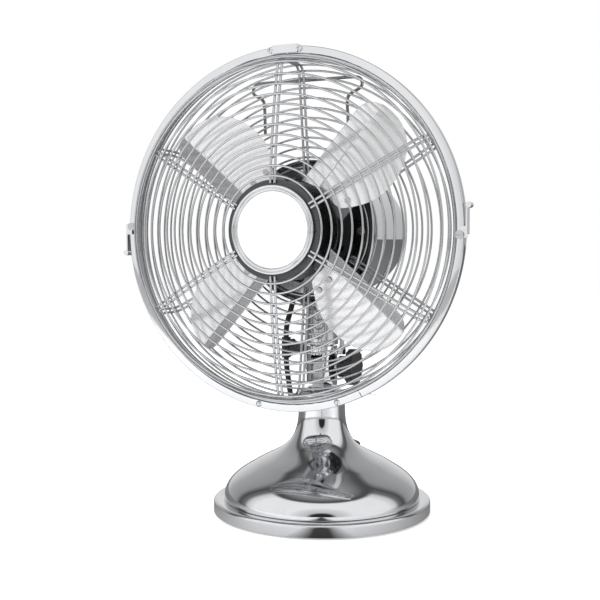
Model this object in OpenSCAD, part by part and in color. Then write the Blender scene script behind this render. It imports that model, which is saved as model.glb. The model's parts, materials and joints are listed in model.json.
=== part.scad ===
// Oscillating desk fan with a chromed pedestal, a tilting neck and a wire guard.
// X is to the fan's left-hand side seen from behind, -Y is the way the air goes, +Z is up.
// The origin is on the table under the middle of the foot. All sizes are in millimetres.

/* [Head] */
// Height of the blade axis above the table
head_z = 281; // [280:0.5:284]
// Outer radius of the guard's trim band
band_r = 167.5; // [167:0.5:169]
// Radius of the blade tips
tip_r = 144; // [138:1:146]
// Outer radius of the motor housing at its front lip
lip_r = 68; // [67:0.5:68.5]
// Radius of the badge rim in the middle of the front guard
badge_r = 40.2; // [38:0.2:41]

/* [Guards] */
// Diameter of the ring wires
ring_wire = 2; // [1.6:0.1:2.2]
// Diameter of the spoke wires
spoke_wire = 2.4; // [2:0.1:2.6]
// Distance from one ring to the next
ring_pitch = 9.2; // [9:0.1:10]
// Number of radial spokes, each a pair of wires
spokes = 6; // [4:1:8]

/* [Blades] */
// Number of blades
blade_count = 4; // [4:1:4]
// Thickness of a blade
blade_t = 1.2; // [1:0.1:1.4]
// Slope of the steep trailing strip of a blade, in degrees
strip_slope = 38; // [34:1:40]
// Slope of the broad leading part of a blade, in degrees
face_slope = 14; // [10:1:16]

/* [Pedestal] */
// Radius of the foot
foot_r = 109; // [108:0.5:112]
// Height of the foot's top edge
foot_h = 14.5; // [14:0.5:15]
// Thickness of the spun shells
shell_t = 1.2; // [1:0.1:1.5]
// Height of the tilt pivot above the table
tilt_z = 147; // [146.5:0.1:147.5]
// Radius of the tilt block and of the neck above it
neck_r = 15.5; // [15:0.1:15.6]
// Radius of the tilt knob
knob_r = 18; // [16:0.5:19]

/* [Hidden] */
$fn = 64;
// Gap between pieces that touch but must stay separate solids
seat = 0.05;
// Radial clearance of a running fit
run = 0.05;

// Front-to-back places on the head's axis, measured forward from the pedestal's axis
crown_f = 119.5;
crown_rad = 646;
bend_start_r = 146;
bend_rad = 14;
badge_f = 121;
rim_f = 88;
rim_wire = 4;
rim_r = 159;
plate_f = 35;
back_f = 39.7;
back_r = 56;
back_slope = 8;
side_f = 82;
blade_front_f = 91;
hub_f = 76;
shaft_r = 4;
shaft_front_f = 104;
shaft_back_f = -70;
dome_f = -66;
dome_len = 66;
housing_back_r = lip_r - 4.5;

// Gearbox and oscillation linkage
gear_x = 18;
gear_y = 58;
worm_r = 4.9;
gear_tip_r = gear_x - worm_r - 0.1;
gear_teeth = 30;
crank_throw = 13;
crank_turn = -3.4;
crank_z = 203.5;
stud_x = 21.5;
stud_top_z = 203;
link_z = 198.5;
link_t = 3;

// Swivel between the tilt block and the neck
block_top_z = 167.5;
collar_z = 169.2;
collar_h = 10;
collar_r = 16.3;
pin_r = 5;
flare_z = 203.5;
flare_h = 9;
flare_r = 24;

// Tilt joint
tilt_bolt_r = 4;
tongue_w = 12;
tongue_r = 11;
ear_r = 19;
hub_x = 19.5;
hub_len = 10;
knob_w = 8;

// Pedestal heights
plate_z = 3;
neck_top_z = 119;
neck_top_r = 23;
gland_z = 107;
switch_r = 76.4;
switch_z = 44.8;
switch_tilt = 31.6;

// Lead from the motor to the pedestal, with its two stretches meeting in the clamp
lead_d = 5.5;
lead_up = [[-34, 10, 227], [-34.6, 9, 216], [-37.5, 8, 203], [-41, 6.6, 189], [-42, 6, 180],
    [-42, 6, 175], [-42, 6, 163.5]];
lead_down = [[-42, 6, 162.5], [-42, 6, 152], [-42, 6, 149], [-40.3, 4.6, 139], [-37.7, 3, 127],
    [-35, 1, 116], [-31.6, 0, 109.4], [-28.8, 0, 107], [-27.6, 0, 107], [-25, 0, 107], [-20.5, 0, 107]];

// ---------- helpers ----------

// Stands the head's own frame on the fan axis: Z points forward, Y points up.
module on_axis() {
    translate([0, 0, head_z]) rotate([90, 0, 0]) children();
}

// A disc or tube on the head's axis, from one forward place to another.
module barrel(r, f0, f1, bore = 0) {
    translate([0, 0, f0]) difference() {
        cylinder(r = r, h = f1 - f0);
        if (bore > 0) translate([0, 0, -1]) cylinder(r = bore, h = f1 - f0 + 2);
    }
}

// A round rod between two points, with round ends.
module rod(p, q, d) {
    v = q - p;
    translate(p) rotate([0, acos(v.z / norm(v)), atan2(v.y, v.x)]) cylinder(d = d, h = norm(v));
}

// A wire bent along an arc in the plane of radius and forward place.
module arc_wire(centre, r, a0, a1, d) {
    translate([centre.x, 0, centre.y]) rotate([90, 0, 0])
        rotate_extrude(angle = a1 - a0, start = a0) translate([r, 0]) circle(d = d);
}

module ring(r, f, d) {
    rotate_extrude() translate([r, f]) circle(d = d);
}

// A point on a cubic curve through a and d, pulled towards b and c.
function curve_at(a, b, c, d, t) =
    pow(1 - t, 3) * a + 3 * t * pow(1 - t, 2) * b + 3 * t * t * (1 - t) * c + pow(t, 3) * d;
function curve(a, b, c, d, n) = [for (i = [0:n]) curve_at(a, b, c, d, i / n)];

// Moves an outline in by t, along its own normals, to make a shell's inner wall.
function ahead(p, i) = p[min(i + 1, len(p) - 1)] - p[max(i - 1, 0)];
function inner(p, t) = [for (i = [0:len(p) - 1])
    let (d = ahead(p, i) / norm(ahead(p, i))) p[i] + t * [-d.y, d.x]];
function back_to_front(p) = [for (i = [len(p) - 1:-1:0]) p[i]];

// A shell turned from an outline of radius and height that runs from its wide end to its narrow end.
module turned_shell(p, t) {
    rotate_extrude($fn = 128) polygon(concat(p, back_to_front(inner(p, t))));
}

// A smooth path through a list of points, with n steps from each to the next.
function spline_at(a, b, c, d, t) = b + 0.5 * t * (c - a) + 0.5 * t * t * (2 * a - 5 * b + 4 * c - d)
    + 0.5 * t * t * t * (3 * b - a - 3 * c + d);
function smooth(p, n) = concat([for (i = [0:len(p) - 2]) for (k = [0:n - 1])
    spline_at(p[max(i - 1, 0)], p[i], p[i + 1], p[min(i + 2, len(p) - 1)], k / n)], [p[len(p) - 1]]);

// Points round one section of a lead.
function lead_ring(p, dir, r, n) =
    let (side = cross(dir, [0, 1, 0]) / norm(cross(dir, [0, 1, 0])), up = cross(side, dir))
    [for (k = [0:n - 1]) p + r * (cos(360 * k / n) * side + sin(360 * k / n) * up)];

// A tube swept along a list of points.
module lead(points_along, d, n = 10) {
    path = smooth(points_along, 4);
    last = len(path) - 1;
    dirs = [for (i = [0:last]) ahead(path, i) / norm(ahead(path, i))];
    points = [for (i = [0:last]) each lead_ring(path[i], dirs[i], d / 2, n)];
    sides = [for (i = [0:last - 1]) for (k = [0:n - 1])
        [i * n + k, i * n + (k + 1) % n, (i + 1) * n + (k + 1) % n, (i + 1) * n + k]];
    start_cap = [for (k = [n - 1:-1:0]) k];
    end_cap = [for (k = [0:n - 1]) last * n + k];
    polyhedron(points, concat([start_cap], sides, [end_cap]));
}

// ---------- pedestal ----------

dome_low = [98.6, foot_h + 0.2];
dome_mid = [66.2, 50.9];
dome_out = concat(
    curve(dome_low, [98.6, 33], [84, 40.2], dome_mid, 10),
    [for (i = [1:12]) curve_at(dome_mid, [44, 63.5], [25, 65], [23.6, 100], i / 12)],
    [[neck_top_r, neck_top_z]]);

module foot_ring() {
    edge = 3;
    color("gainsboro") difference() {
        rotate_extrude($fn = 128) difference() {
            union() {
                translate([90, 2]) square([foot_r - edge - 90, foot_h - 2]);
                translate([90, 2]) square([foot_r - 90, foot_h - 2 - edge]);
                translate([foot_r - edge, foot_h - edge]) circle(r = edge);
            }
            translate([80, 1]) square([foot_r - 83, foot_h - 3.5]);
        }
        translate([0, foot_r - 6, 8.5]) rotate([-90, 0, 0]) cylinder(r = 3.95, h = 12);
        for (a = [45:90:315]) rotate(a) translate([98, 0, 8]) cylinder(r = 1.75, h = 5.4);
    }
}

module base_dome() {
    color("gainsboro") difference() {
        turned_shell(dome_out, shell_t);
        translate([-20, 0, gland_z]) rotate([0, -90, 0]) cylinder(r = 3.9, h = 8);
        on_switch() cylinder(r = 6.5, h = 16, center = true);
    }
}

module base_plate() {
    color("dimgray") difference() {
        translate([0, 0, plate_z]) cylinder(r = 104, h = 1.5);
        for (a = [45:90:315]) rotate(a) translate([98, 0, 0]) cylinder(r = 1.8, h = 10);
        cylinder(r = 4.1, h = 10);
    }
}

module ballast_weight() {
    color("black") translate([0, 0, plate_z + 1.5 + seat]) difference() {
        cylinder(r = 84, h = 6);
        translate([0, 0, -1]) cylinder(r = 42, h = 8);
    }
}

module base_pad() {
    color("black") difference() {
        cylinder(r = 92, h = plate_z - seat);
        translate([0, 0, 0.8]) cylinder(r = 9, h = plate_z);
    }
}

module plate_screws() {
    color("silver") for (a = [45:90:315]) rotate(a) translate([98, 0, 0]) {
        translate([0, 0, 1]) cylinder(r = 3.5, h = plate_z - 1 - seat);
        translate([0, 0, 1.2]) cylinder(r = 1.7, h = 12.1);
    }
}

module tie_rod() {
    color("silver") {
        translate([0, 0, 1]) cylinder(r = tilt_bolt_r, h = 92);
        translate([0, 0, 0.9]) cylinder(r = 7.5, h = plate_z - 0.95, $fn = 6);
    }
}

module tilt_post() {
    color("silver") difference() {
        union() {
            translate([0, 0, 78]) cylinder(r = 13.8, h = 48);
            translate([0, 0, 112]) cylinder(r = 21.6, h = 6.8);
            translate([-tongue_w / 2, -tongue_r, 120]) cube([tongue_w, 2 * tongue_r, tilt_z - 120]);
            translate([-tongue_w / 2, 0, tilt_z]) rotate([0, 90, 0]) cylinder(r = tongue_r, h = tongue_w);
        }
        translate([-20, 0, tilt_z]) rotate([0, 90, 0]) cylinder(r = tilt_bolt_r + run, h = 40);
        translate([0, 0, 70]) cylinder(r = tilt_bolt_r + run, h = 24);
    }
}

module neck_cap() {
    color("gainsboro") rotate_extrude() polygon([[13.9, neck_top_z + seat],
        [neck_top_r, neck_top_z + seat], [neck_top_r - 0.5, 121.5], [14.8, 125.2], [13.9, 125.2]]);
}

module cable_bushes() {
    color("black") {
        translate([-23.5, 0, gland_z]) rotate([0, -90, 0]) difference() {
            union() {
                cylinder(r1 = 5.4, r2 = 4.4, h = 3.4);
                translate([0, 0, -2.6]) cylinder(r = 3.8, h = 3);
            }
            translate([0, 0, -4]) cylinder(r = lead_d / 2 + 0.05, h = 10);
        }
        translate([0, foot_r - 4.5, 8.5]) rotate([-90, 0, 0]) difference() {
            union() {
                cylinder(r = 3.9, h = 4.7);
                translate([0, 0, 4.6]) cylinder(r1 = 5.4, r2 = 4.4, h = 2.6);
            }
            translate([0, 0, -1]) cylinder(r = 3, h = 12);
        }
    }
}

// Stands the switch's own frame on the back slope of the dome, with Z along the slope's normal.
module on_switch() {
    translate([0, switch_r, switch_z]) rotate([-switch_tilt, 0, 0]) children();
}

module speed_switch() {
    color("dimgray") on_switch() {
        translate([0, 0, -20]) cylinder(r = 12, h = 17);
        translate([0, 0, -3.5]) cylinder(r = 6.2, h = 4.5);
        translate([0, 0, 0.5]) cylinder(r = 3, h = 9);
    }
}

module speed_knob() {
    color("black") on_switch() difference() {
        union() {
            translate([0, 0, 1.6]) cylinder(r = 12.5, h = 4);
            translate([0, 0, 1.6]) cylinder(r = 11, h = 10.5);
            translate([-1.1, 2, 1.6]) cube([2.2, 8.5, 11.4]);
        }
        translate([0, 0, 0]) cylinder(r = 3 + run, h = 10);
    }
}

module motor_lead_lower() {
    color("black") lead(lead_down, lead_d);
}

// ---------- tilt joint ----------

module across(x0, x1, r) {
    translate([x0, 0, tilt_z]) rotate([0, 90, 0]) cylinder(r = r, h = x1 - x0);
}

module tilt_block() {
    color("gainsboro") difference() {
        union() {
            intersection() {
                translate([0, 0, 120]) cylinder(r = neck_r, h = block_top_z - 120);
                union() {
                    across(-20, 20, ear_r);
                    translate([-20, -20, tilt_z]) cube([40, 40, 30]);
                }
            }
            translate([stud_x, 0, 159.5]) cylinder(r = 3.8, h = 5.5);
            translate([10, -3.8, 159.5]) cube([stud_x - 10, 7.6, 5.5]);
        }
        translate([-tongue_w / 2 - 0.3, -25, 120]) cube([tongue_w + 0.6, 50, tilt_z + tongue_r + 0.8 - 120]);
        across(-30, 30, tilt_bolt_r + run);
        across(-30, -11, 7.6);
        translate([0, 0, 150]) cylinder(r = pin_r, h = 30);
        translate([stud_x, 0, 150]) cylinder(r = 2.2, h = 30);
    }
}

module tilt_nut() {
    color("silver") difference() {
        translate([-15, 0, tilt_z]) rotate([0, 90, 0]) cylinder(r = 7.5, h = 3.9, $fn = 6);
        across(-30, 0, tilt_bolt_r + run);
    }
}

module swivel_pin() {
    color("silver") {
        translate([0, 0, tilt_z + tongue_r + 1]) cylinder(r = pin_r, h = 39.5);
        translate([0, 0, block_top_z + seat]) difference() {
            cylinder(r = 12, h = 1.3);
            translate([0, 0, -1]) cylinder(r = pin_r - 0.5, h = 4);
        }
        translate([0, 0, 197.5]) cylinder(r = 8, h = 1.5);
    }
}

module link_stud() {
    color("silver") {
        translate([stud_x, 0, 159.5]) cylinder(r = 2.2, h = stud_top_z - 159.5);
        translate([stud_x, 0, 165 + seat]) cylinder(r = 3.4, h = 2);
        translate([stud_x, 0, link_z - 1.6]) cylinder(r = 3.4, h = 1.3);
    }
}

module lead_clamp() {
    grip_x = lead_up[5].x;
    grip_y = lead_up[5].y;
    color("black") difference() {
        union() {
            translate([grip_x, grip_y, 153]) cylinder(r = 4.6, h = 21);
            translate([0, grip_y + 1.5, 0]) rotate([90, 0, 0]) linear_extrude(3)
                polygon([[grip_x, 153], [grip_x, 174], [-neck_r - 1.2, 165.5], [-neck_r + 1.2, 165.5],
                    [-neck_r + 1.2, 160.5], [-neck_r - 1.2, 160.5]]);
            translate([grip_x + 8, grip_y, 170]) sphere(r = 2.6, $fn = 24);
        }
        translate([grip_x, grip_y, 150]) cylinder(r = lead_d / 2 + 0.1, h = 30);
        translate([0, 0, 140]) cylinder(r = neck_r + seat, h = 40);
    }
}

module tilt_knob() {
    flutes = 18;
    color("black") difference() {
        union() {
            across(hub_x, hub_x + hub_len + 1, 10.7);
            across(hub_x + hub_len, hub_x + hub_len + knob_w, knob_r);
        }
        across(0, hub_x + 12, tilt_bolt_r + run);
        for (k = [0:flutes - 1]) translate([hub_x + hub_len - 1, 0, tilt_z])
            rotate([360 * k / flutes, 0, 0]) translate([0, 0, knob_r + 0.7]) rotate([0, 90, 0])
                cylinder(r = 1.9, h = knob_w + 2);
    }
}

module tilt_stud() {
    color("silver") across(-16.5, hub_x + 11.8, tilt_bolt_r);
}

// ---------- oscillation linkage ----------

crank_pin_x = gear_x + crank_throw * cos(crank_turn);
crank_pin_y = gear_y + crank_throw * sin(crank_turn);

module drag_link() {
    far = [crank_pin_x, crank_pin_y];
    span = norm(far - [stud_x, 0]);
    color("silver") difference() {
        translate([stud_x, 0, link_z]) rotate(atan2(far.y, far.x - stud_x)) {
            cylinder(r = 4.6, h = link_t);
            translate([span, 0, 0]) cylinder(r = 5, h = link_t);
            translate([0, -3, 0]) cube([span, 6, link_t]);
        }
        translate([stud_x, 0, link_z - 1]) cylinder(r = 2.2 + run, h = 6);
        translate([far.x, far.y, link_z - 1]) cylinder(r = 2.4, h = 6);
    }
}

module crank_shaft() {
    color("silver") {
        translate([gear_x, gear_y, crank_z]) cylinder(r = 3, h = 91.5);
        translate([gear_x, gear_y, crank_z]) cylinder(r = 16.5, h = 3);
        translate([crank_pin_x, crank_pin_y, crank_z - 1.3]) cylinder(r = 2.2, h = 2);
    }
}

module worm_gear() {
    tooth = 360 / gear_teeth;
    root_r = gear_tip_r - 1.8;
    color("ivory") translate([gear_x, gear_y, head_z - 5]) difference() {
        linear_extrude(10) union() {
            circle(r = root_r);
            for (k = [0:gear_teeth - 1]) rotate(k * tooth) polygon([[root_r - 0.5, -0.8],
                [gear_tip_r, -0.4], [gear_tip_r, 0.4], [root_r - 0.5, 0.8]]);
        }
        translate([0, 0, -1]) cylinder(r = 3, h = 12);
    }
}

module oscillation_knob() {
    color("black") translate([gear_x, gear_y, 0]) {
        translate([0, 0, 296.3]) cylinder(r = 2.4, h = 53);
        translate([0, 0, 346]) cylinder(r = 4.5, h = 5);
        translate([0, 0, 350]) difference() {
            cylinder(r = 8.5, h = 8);
            for (k = [0:11]) rotate(30 * k) translate([9.3, 0, -1]) cylinder(r = 1.6, h = 10);
        }
        translate([0, 0, 357.5]) cylinder(r1 = 7.2, r2 = 5.5, h = 1.6);
    }
}

// ---------- neck and motor ----------

// The solid that the housing's outside encloses, grown by a gap.
module housing_body(gap) {
    on_axis() {
        translate([0, 0, dome_f]) cylinder(r1 = housing_back_r + gap, r2 = lip_r + gap,
            h = plate_f - dome_f);
    }
}

module neck_casting() {
    color("gainsboro") difference() {
        union() {
            translate([0, 0, collar_z]) cylinder(r = collar_r, h = collar_h);
            translate([0, 0, collar_z]) cylinder(r = neck_r - 0.1, h = 50);
            translate([0, 0, flare_z]) cylinder(r1 = neck_r - 0.1, r2 = flare_r, h = flare_h);
            translate([0, 0, flare_z + flare_h]) cylinder(r = flare_r, h = 12);
        }
        housing_body(seat);
        translate([0, 0, collar_z - 1]) cylinder(r = 7, h = 28.5);
        translate([0, 0, 196.5]) cylinder(r = 9, h = 6.5);
    }
}

module swivel_bush() {
    color("darkgoldenrod") translate([0, 0, collar_z + 0.1]) difference() {
        cylinder(r = 7 - 0.02, h = 27);
        translate([0, 0, -1]) cylinder(r = pin_r + run, h = 30);
    }
}

module arc_slot(r, f, w, from, to) {
    translate([0, 0, f]) rotate_extrude(angle = to - from, start = from)
        translate([r - w / 2, 0]) square([w, 6]);
}

module motor_front_plate() {
    color("black") on_axis() difference() {
        union() {
            barrel(lip_r - 2, plate_f - 2, plate_f);
            barrel(13, plate_f - 8, plate_f + 4);
        }
        barrel(8.02, plate_f - 9, plate_f + 2.5);
        barrel(shaft_r + 0.6, plate_f - 9, plate_f + 6);
        for (k = [0:7]) arc_slot(49, plate_f - 3, 9, 45 * k - 16, 45 * k + 16);
        for (k = [0:3]) rotate(90 * k - 26) translate([36, 0, plate_f - 3]) cylinder(r = 4, h = 6);
        for (k = [0:3]) rotate(90 * k + 45) translate([59, 0, plate_f - 3]) cylinder(r = 2.1, h = 6);
    }
}

module motor_housing() {
    n = 14;
    outline = concat([[lip_r, -plate_f]], [for (i = [0:n])
        [housing_back_r * cos(88 * i / n), -dome_f + dome_len * sin(88 * i / n)]]);
    color("gainsboro") difference() {
        union() {
            on_axis() mirror([0, 0, 1]) turned_shell(outline, shell_t);
            on_axis() mirror([0, 0, 1]) translate([0, 0, -dome_f + dome_len - shell_t - 0.4])
                cylinder(r = 6, h = shell_t);
            on_axis() ring(lip_r, plate_f - 0.2, 2.4);
        }
        translate([gear_x, gear_y, 210]) cylinder(r = 5, h = 20);
        translate([gear_x, gear_y, 330]) cylinder(r = 5.2, h = 20);
        translate([lead_up[0].x, lead_up[0].y, 210]) cylinder(r = lead_d / 2 + 0.6, h = 30);
    }
}

module stator_core() {
    color("dimgray") on_axis() difference() {
        barrel(50, -5, 15, 24);
        for (k = [0:7]) rotate(45 * k + 22.5) translate([37, 0, -6]) cylinder(r = 5, h = 22);
    }
}

module stator_windings() {
    color("chocolate") on_axis() {
        rotate_extrude() translate([37, 19.8]) circle(r = 4.5);
        rotate_extrude() translate([37, -9.8]) circle(r = 4.5);
    }
}

module motor_bolts() {
    color("silver") on_axis() for (k = [0:3]) rotate(90 * k + 45) {
        translate([59, 0, -33]) cylinder(r = 2, h = plate_f + 33 + 0.2);
        translate([59, 0, plate_f + seat]) cylinder(r = 3.6, h = 1.35);
    }
}

module shaft_bearings() {
    color("darkgoldenrod") on_axis() {
        barrel(8, plate_f - 7.8, plate_f + 2.2, shaft_r + run);
        barrel(8, -37, -28.2, shaft_r + run);
    }
}

module gearbox_case() {
    wall = 2;
    low = [-12, 39.2, head_z - 17];
    size = [48, 36, 34];
    color("dimgray") difference() {
        union() {
            translate(low) cube(size);
            on_axis() {
                intersection() {
                    barrel(60.5, -32, -30);
                    for (k = [0:3]) rotate(90 * k + 45) translate([0, -9, -40]) cube([70, 18, 20]);
                }
                barrel(24, -32, -30);
                barrel(12, -40, -30);
            }
        }
        translate(low + [wall, wall, wall]) cube(size - 2 * [wall, wall, wall]);
        translate([gear_x, gear_y, 200]) cylinder(r = 3 + run, h = 90);
        translate([gear_x, gear_y, 280]) cylinder(r = 2.4 + run, h = 40);
        on_axis() {
            barrel(8.02, -37.1, -29);
            barrel(shaft_r + 0.6, -50, -29);
            for (k = [0:3]) rotate(90 * k + 45) translate([59, 0, -40]) cylinder(r = 2.05, h = 20);
        }
    }
}

module motor_lead_upper() {
    color("black") lead(lead_up, lead_d);
}

// ---------- guards ----------

front_lift = (ring_wire + spoke_wire) / 2 + seat;
bend_a = acos(bend_start_r / crown_rad);
bend_c = [(crown_rad - bend_rad) * cos(bend_a), crown_f - crown_rad + (crown_rad - bend_rad) * sin(bend_a)];
function on_crown(r, off) = crown_f - crown_rad + sqrt(pow(crown_rad + off, 2) - r * r);

// Places children at both wires of every spoke.
module at_spokes() {
    for (k = [0:spokes - 1]) for (side = [-1, 1])
        rotate(360 * k / spokes + 30) translate([0, side * 2.1, 0]) children();
}

module front_guard_spokes() {
    color("silver") on_axis() at_spokes() {
        arc_wire([0, crown_f - crown_rad], crown_rad, bend_a, acos(41.5 / crown_rad), spoke_wire);
        arc_wire(bend_c, bend_rad, 14, bend_a + 2, spoke_wire + 0.15);
    }
}

module front_guard_rings() {
    color("silver") on_axis() for (r = [48:ring_pitch:148]) ring(r, on_crown(r, front_lift), ring_wire);
}

module front_guard_hoops() {
    out = bend_rad + front_lift;
    color("silver") on_axis() {
        for (a = [58, 36]) ring(bend_c.x + out * cos(a), bend_c.y + out * sin(a), ring_wire);
        ring(rim_r, rim_f, rim_wire);
    }
}

// Forward place of the rear guard's spokes at a radius.
function on_back(r) = back_f + (r - back_r) * tan(back_slope);
back_end_r = 146;
turn_rad = 11;
turn_c = [back_end_r - turn_rad * sin(back_slope), on_back(back_end_r) + turn_rad * cos(back_slope)];

module rear_guard_spokes() {
    color("silver") on_axis() at_spokes() {
        rod([back_r - 4, 0, on_back(back_r - 4)], [back_end_r, 0, on_back(back_end_r)], spoke_wire);
        arc_wire(turn_c, turn_rad, -92.5 + back_slope, 0, spoke_wire + 0.15);
        translate([turn_c.x + turn_rad, 0, turn_c.y - 0.5])
            cylinder(d = spoke_wire, h = side_f - turn_c.y + 0.5);
    }
}

module rear_guard_rings() {
    color("silver") on_axis() {
        for (r = [62:ring_pitch:146]) ring(r, on_back(r) - front_lift / cos(back_slope), ring_wire);
        difference() {
            barrel(60, back_f - 3.1, back_f - 1.85, 50);
            for (a = [0:120:240]) rotate(a) translate([55, 0, back_f - 5]) cylinder(r = 1.75, h = 10);
        }
    }
}

module rear_guard_hoops() {
    out = turn_rad + front_lift;
    color("silver") on_axis() {
        for (a = [-60, -30]) ring(turn_c.x + out * cos(a), turn_c.y + out * sin(a), ring_wire);
        for (f = [66, 74]) ring(turn_c.x + out, f, ring_wire);
        ring(rim_r, side_f, rim_wire);
    }
}

module guard_screws() {
    color("silver") on_axis() for (a = [0:120:240]) rotate(a) translate([55, 0, 0]) {
        translate([0, 0, plate_f + 0.02]) cylinder(r = 3.2, h = back_f - plate_f - 3.17);
        translate([0, 0, plate_f + 0.5]) cylinder(r = 1.7, h = back_f - plate_f - 2);
        translate([0, 0, back_f - 1.8]) cylinder(r = 3.4, h = 1.7);
    }
}

rivet_turns = [-99.5, -71.8];

module trim_band() {
    seam = -63;
    flange = 7;
    color("gainsboro") on_axis() {
        difference() {
            rotate_extrude(angle = 359.5, start = seam, $fn = 128) {
                translate([band_r - flange, rim_f + 1.55]) square([flange, 1]);
                translate([band_r - 1, side_f]) square([1, rim_f + 2.5 - side_f]);
            }
            for (a = rivet_turns) rotate(a) translate([band_r - 3.6, 0, rim_f]) cylinder(r = 1.25, h = 5);
        }
        rotate_extrude(angle = 9, start = seam - 4.5)
            translate([band_r - 5, rim_f + 0.25]) square([3.75, 1.25]);
        rotate(seam + 1.5) translate([band_r - 0.6, 0, rim_f - 1]) rotate(-24) cube([1, 8, 2.5]);
    }
}

module band_rivets() {
    color("silver") on_axis() for (a = rivet_turns) rotate(a) translate([band_r - 3.6, 0, 0]) {
        translate([0, 0, rim_f + 0.5]) cylinder(r = 1.2, h = 2.5);
        translate([0, 0, rim_f + 2.6]) intersection() {
            translate([0, 0, -1.2]) sphere(r = 3.2);
            cylinder(r = 4, h = 3);
        }
    }
}

module badge_plate() {
    color("dimgray") on_axis() barrel(45, crown_f - 4.5, crown_f - 3, 12);
}

module badge_rim() {
    color("gainsboro") on_axis() {
        difference() {
            barrel(badge_r, crown_f - 2.9, badge_f - 1.5, 34.6);
            barrel(badge_r - 1.5, crown_f - 4, badge_f - 3.5);
        }
        ring(badge_r - 1.3, badge_f - 1.4, 2.6);
        ring(badge_r - 4.3, badge_f - 1.6, 2.2);
    }
}

module badge_disc() {
    color("white") on_axis() barrel(34.5, crown_f - 2.95, badge_f - 1.6);
}

module top_hook() {
    color("silver") on_axis() {
        translate([-12.5, band_r - 6.5, rim_f + 2.7]) cube([25, 7.6, 1.2]);
        for (side = [-1, 1]) translate([side * 14.4, band_r - 3, rim_f + 3.3])
            rotate_extrude($fn = 32) translate([2.2, 0]) circle(d = 1.5);
    }
}

// Screw that a latch turns on, in the head's own frame: sideways and upward place.
latch_at = [163.6, -5];

module latch_screws() {
    color("silver") on_axis() for (turn = [0, 180]) rotate(turn) translate(latch_at) {
        translate([0, 0, rim_f + 2.6]) cylinder(r = 1.5, h = 3);
        translate([0, 0, rim_f + 4.8]) difference() {
            cylinder(r = 3.8, h = 1.9);
            translate([-5, -0.5, 1]) cube([10, 1, 2]);
        }
    }
}

module latch(turn) {
    color("silver") on_axis() rotate(turn) difference() {
        union() {
            translate([latch_at.x, latch_at.y, rim_f + 3.2]) cylinder(r = 3.6, h = 1.3);
            translate([latch_at.x, latch_at.y - 2.5, rim_f + 3.2]) cube([6.6, 10, 1.3]);
            translate([band_r + 1.3, latch_at.y + 0.5, rim_f - 4]) cube([1.4, 23, 8.5]);
            translate([band_r + 3.4, 20.5, rim_f - 4]) cylinder(r = 2.6, h = 8.5);
        }
        translate([latch_at.x, latch_at.y, rim_f]) cylinder(r = 1.5 + run, h = 8);
    }
}

module latch_right() {
    latch(0);
}

module latch_left() {
    latch(180);
}

// One half of the handle's wire, from its foot to the middle of the grip: sideways, forward, up.
handle_half = [[43, 41.3, 95], [43, 41.9, 106], [43, 43.4, 122], [45.5, 43, 128], [54, 41.5, 133],
    [56.5, 40.5, 137], [54.5, 39.5, 142.5], [47, 39, 144.5], [20, 39, 144.5]];

module carry_handle() {
    right = [for (p = handle_half) [p.x, -p.y, head_z + p.z]];
    left = [for (p = back_to_front(right)) [-p.x, p.y, p.z]];
    color("dimgray") lead(concat(right, left), 3, 12);
}

// ---------- blades ----------

module on_shaft() {
    on_axis() children();
}

// Places of a blade's straight edge, crease and far side, across it from its radial line.
edge_y = -16;
crease_y = -3;
far_y = 54;
// Forward place of a blade's front face at a place across it.
function blade_face(y) = y <= crease_y
    ? blade_front_f - (y - edge_y) * tan(strip_slope)
    : blade_front_f - (crease_y - edge_y) * tan(strip_slope) - (y - crease_y) * tan(face_slope);
section = [for (y = [edge_y - 2, crease_y, far_y]) [y, blade_face(y)]];

// A plate that follows the blade's section, moved back by drop.
module section_plate(x0, x1, drop) {
    low = [for (p = section) p - [0, drop]];
    thick = [for (p = back_to_front(section)) p - [0, drop + blade_t]];
    translate([x1, 0, 0]) rotate([90, 0, -90]) mirror([1, 0, 0]) linear_extrude(x1 - x0)
        polygon(concat(low, thick));
}

// Outline of a blade, with its straight trailing edge along X.
module blade_outline() {
    root = [[44.5, edge_y], [tip_r - 17, edge_y], [tip_r - 8, edge_y + 2.5], [tip_r - 3, edge_y + 8]];
    tip = curve([tip_r - 0.8, -3], [tip_r + 1, 14], [tip_r - 5, 35], [tip_r - 33, 43.5], 8);
    lead_edge = curve([tip_r - 43.5, 45.4], [tip_r - 64, 47.5], [65.5, 42.5], [46, 23], 8);
    polygon(concat(root, tip, lead_edge));
}

blade_turn = 49.3;

module blade(k) {
    color("lightgray") on_shaft() rotate(blade_turn - 90 * k) mirror([0, 1, 0]) difference() {
        intersection() {
            section_plate(40, tip_r + 2, 0);
            translate([0, 0, 40]) linear_extrude(60) blade_outline();
        }
        barrel(48, 40, 100);
        at_rivets() translate([0, 0, -12]) cylinder(r = 1.6, h = 24);
    }
}

rivet_places = [[58.5, 9], [56.5, 24]];

// Places children on a blade's face at its rivets, with Z along the face's normal.
module at_rivets() {
    for (p = rivet_places) translate([p.x, p.y, blade_face(p.y)])
        rotate([-face_slope, 0, 0]) children();
}

module blade_1() {
    blade(0);
}

module blade_2() {
    blade(1);
}

module blade_3() {
    blade(2);
}

module blade_4() {
    blade(3);
}

module blade_hub() {
    color("dimgray") on_shaft() difference() {
        union() {
            barrel(46, hub_f - 1.5, hub_f);
            barrel(11, hub_f - 12, hub_f + 8);
            for (k = [0:3]) rotate(blade_turn - 90 * k) mirror([0, 1, 0]) intersection() {
                section_plate(38, 68, blade_t + seat);
                translate([38, -1, 40]) cube([30, 32, 60]);
            }
        }
        barrel(shaft_r + 0.01, 40, 110);
        for (k = [0:3]) rotate(blade_turn - 90 * k) mirror([0, 1, 0])
            at_rivets() translate([0, 0, -6]) cylinder(r = 1.6, h = 8);
    }
}

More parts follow.
